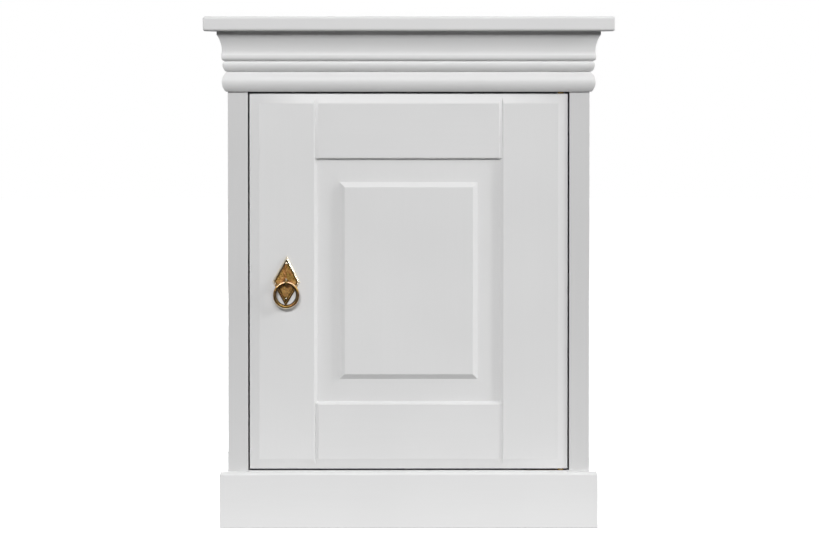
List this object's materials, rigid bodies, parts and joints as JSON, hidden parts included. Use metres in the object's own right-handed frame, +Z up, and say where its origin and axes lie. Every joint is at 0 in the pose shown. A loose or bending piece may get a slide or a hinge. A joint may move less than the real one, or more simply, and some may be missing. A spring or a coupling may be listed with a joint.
{
  "type": "bedside cupboard",
  "caption": "White lacquered bedside pot cupboard with a raised-panel door, moulded cornice, mitred plinth, adjustable shelf and a brass drop-ring pull.",
  "frame": {"origin": "centre of the bounding box on the floor, under the middle of the top board", "axes": "+Z up; the door faces -Y; +X is to the viewer's right, the hinge side, when facing the door"},
  "size_m": [0.513, 0.38, 0.64],
  "materials": {
    "white_lacquer": "satin white lacquer over fine-grained board",
    "bare_wood": "bare planed softwood and beech dowel",
    "brass": "antiqued, dark in the recesses and rubbed bright on the edges",
    "steel": "bright zinc plate",
    "catch_plastic": "fine moulded texture",
    "magnet": "sintered ferrite with ground faces"
  },
  "bodies": {
    "cabinet": {"top_board": "white_lacquer", "cornice_front": "white_lacquer", "cornice_left": "white_lacquer", "cornice_right": "white_lacquer", "frame_stile_left": "white_lacquer", "frame_stile_right": "white_lacquer", "frame_top_rail": "white_lacquer", "frame_bottom_rail": "white_lacquer", "frame_dowels": "bare_wood", "side_panel_left": "white_lacquer", "side_panel_right": "white_lacquer", "bottom_panel": "white_lacquer", "back_panel": "white_lacquer", "top_stretcher_front": "white_lacquer", "top_stretcher_rear": "white_lacquer", "stretcher_dowels": "bare_wood", "glue_blocks": "bare_wood", "shelf": "white_lacquer", "shelf_pins": "steel", "plinth_front": "white_lacquer", "plinth_left": "white_lacquer", "plinth_right": "white_lacquer", "top_fixing_screws": "steel", "back_panel_pins": "steel", "hinge_frame_leaf_top": "brass", "hinge_frame_leaf_bottom": "brass", "hinge_pins": "steel", "hinge_washers": "brass", "hinge_frame_screws": "brass", "catch_block": "white_lacquer", "catch_body": "catch_plastic", "catch_magnet": "magnet", "catch_screws": "steel"},
    "door": {"door_stile_left": "white_lacquer", "door_stile_right": "white_lacquer", "door_top_rail": "white_lacquer", "door_bottom_rail": "white_lacquer", "door_panel": "white_lacquer", "hinge_door_leaf_top": "brass", "hinge_door_leaf_bottom": "brass", "hinge_door_screws": "brass", "strike_plate": "steel", "strike_screws": "steel", "pull_backplate": "brass", "pull_post": "brass", "pull_washer": "brass", "pull_nut": "brass", "pull_pins": "brass"},
    "ring": {"pull_ring": "brass"}
  },
  "joints": [
    {"name": "door_hinge", "type": "hinge", "parent": "cabinet", "child": "door", "pos_m": [0.1904, -0.156, 0.309], "axis": [0, 0, 1], "range_deg": [0, 105]},
    {"name": "ring_swing", "type": "hinge", "parent": "door", "child": "ring", "pos_m": [-0.1532, -0.17, 0.3073], "axis": [-1, 0, 0], "range_deg": [0, 170]}
  ]
}
